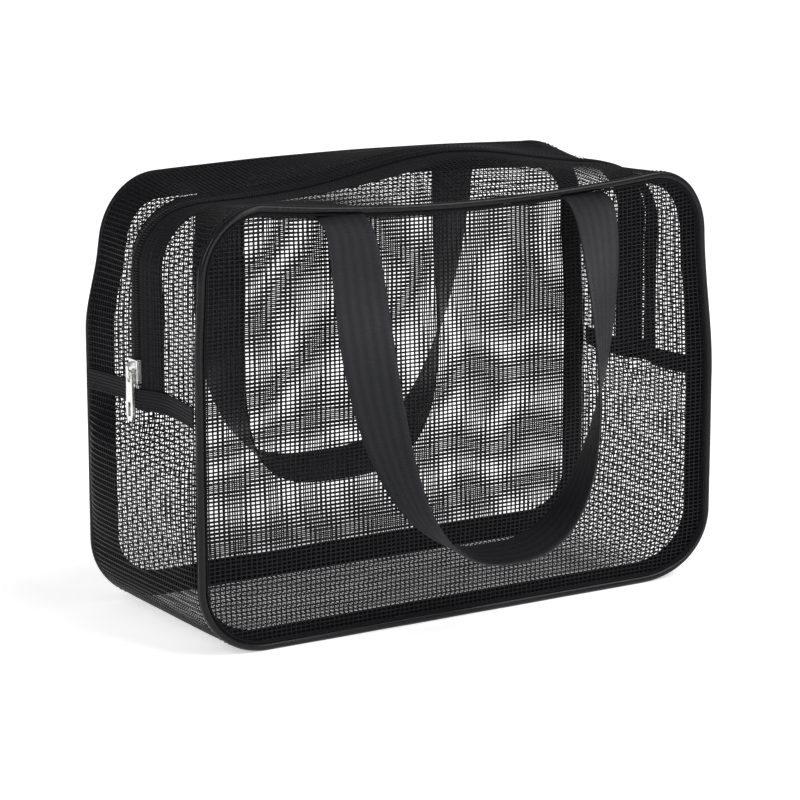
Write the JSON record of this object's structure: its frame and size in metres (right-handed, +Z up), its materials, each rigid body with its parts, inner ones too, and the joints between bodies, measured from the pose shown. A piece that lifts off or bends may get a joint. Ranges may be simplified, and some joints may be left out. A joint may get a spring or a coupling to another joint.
{
  "type": "mesh beach bag",
  "caption": "Boxy see-through mesh bag with piped rounded panels, a zip running over the top between two end bands, and a webbing loop handle hanging on each side.",
  "frame": {"origin": "middle of the flat underside", "axes": "+X along the bag's width, -Y out of the front panel, +Z up"},
  "size_m": [0.3211, 0.2051, 0.2326],
  "materials": {
    "net": "vinyl-coated open mesh, slight sheen",
    "piping": "glossy",
    "binding": "woven tape",
    "ribbon": "ribbed tape",
    "zip_tape": "woven tape",
    "zip_coil": "satin",
    "zip_metal": "polished nickel",
    "webbing": "ribbed twill webbing"
  },
  "bodies": {
    "bag_shell": {"front_panel": "net", "back_panel": "net", "upper_gusset_front": "net", "upper_gusset_back": "net", "lower_gusset": "net", "front_piping": "piping", "back_piping": "piping", "front_binding": "binding", "back_binding": "binding", "left_end_band": "ribbon", "right_end_band": "ribbon", "zip_tape_front": "zip_tape", "zip_tape_back": "zip_tape", "zip_coil_front": "zip_coil", "zip_coil_back": "zip_coil", "zip_top_stops": "zip_metal", "zip_bottom_stop": "zip_metal", "front_stubs": "webbing", "back_stubs": "webbing"},
    "zip_slider": {"slider_body": "zip_metal"},
    "zip_puller": {"puller": "zip_metal"},
    "front_loop": {"front_handle": "webbing"},
    "back_loop": {"back_handle": "webbing"}
  },
  "joints": [
    {"name": "slider_travel", "type": "slide", "parent": "bag_shell", "child": "zip_slider", "axis": [0, 0, 1], "range_m": [0, 0.045]},
    {"name": "puller_swing", "type": "hinge", "parent": "zip_slider", "child": "zip_puller", "pos_m": [-0.1583, 0, 0.1355], "axis": [0, 1, 0], "range_deg": [0, 150]},
    {"name": "front_handle_swing", "type": "hinge", "parent": "bag_shell", "child": "front_loop", "pos_m": [0, -0.0658, 0.2116], "axis": [-1, 0, 0], "range_deg": [0, 170]},
    {"name": "back_handle_swing", "type": "hinge", "parent": "bag_shell", "child": "back_loop", "pos_m": [0, 0.0658, 0.219], "axis": [1, 0, 0], "range_deg": [0, 170]}
  ]
}
